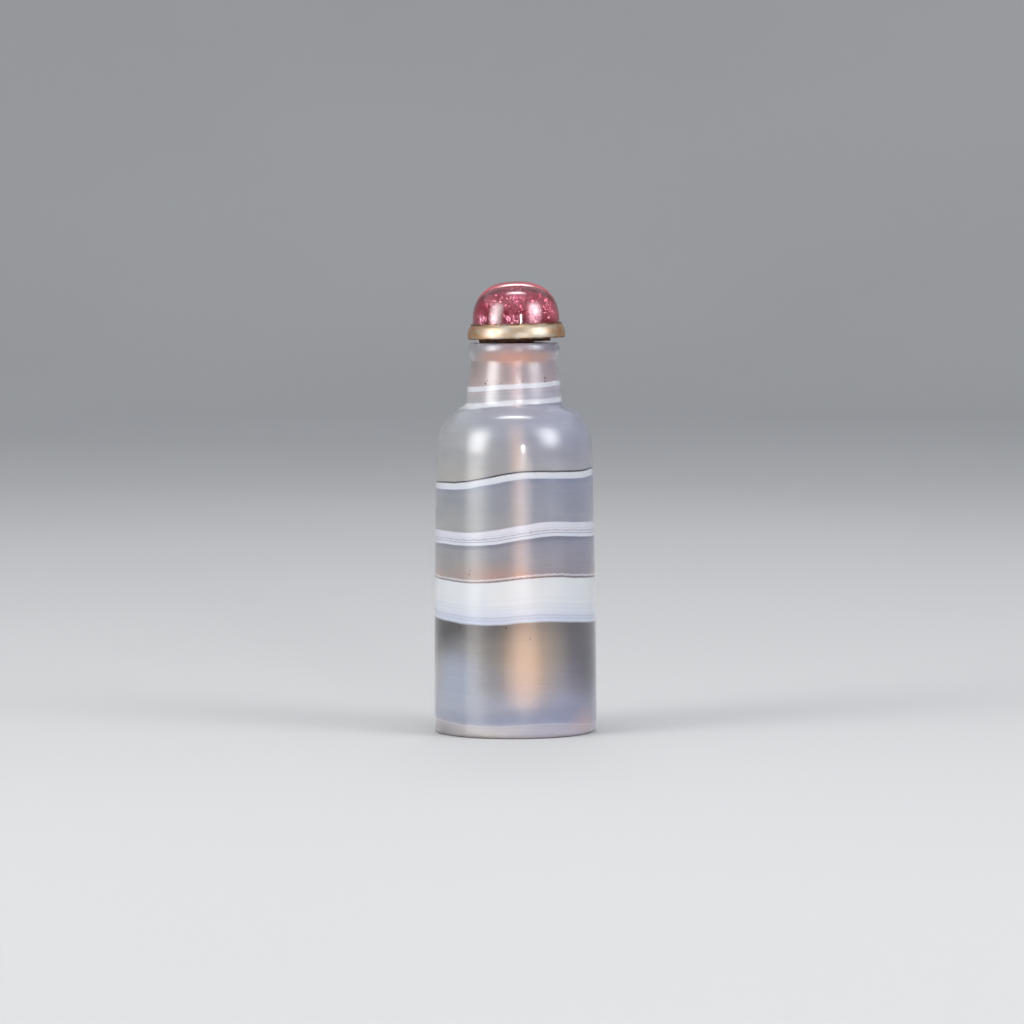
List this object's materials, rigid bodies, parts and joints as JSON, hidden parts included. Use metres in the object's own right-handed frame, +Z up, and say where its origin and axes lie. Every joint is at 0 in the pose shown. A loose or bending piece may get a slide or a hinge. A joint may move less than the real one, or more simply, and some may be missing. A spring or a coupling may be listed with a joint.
{
  "type": "snuff bottle",
  "caption": "Turned snuff bottle of banded agate with a narrow mouth, closed by a stopper of cork, gilt collar and pink cabochon with a bone spoon inside.",
  "frame": {"origin": "centre of the bottle's flat underside, on the surface that it stands on", "axes": "+Z up along the bottle's axis, -Y towards the viewer of the pictured side, +X to that viewer's right"},
  "size_m": [0.0254, 0.0254, 0.0705],
  "materials": {
    "banded_agate": "polished",
    "pink_tourmaline": "polished",
    "worn_gilt": "satin",
    "cork": "matte",
    "bone": "satin"
  },
  "bodies": {
    "root": {"bottle": "banded_agate", "stopper_cabochon": "pink_tourmaline", "stopper_collar": "worn_gilt", "stopper_cork": "cork", "stopper_spoon": "bone"}
  },
  "joints": []
}
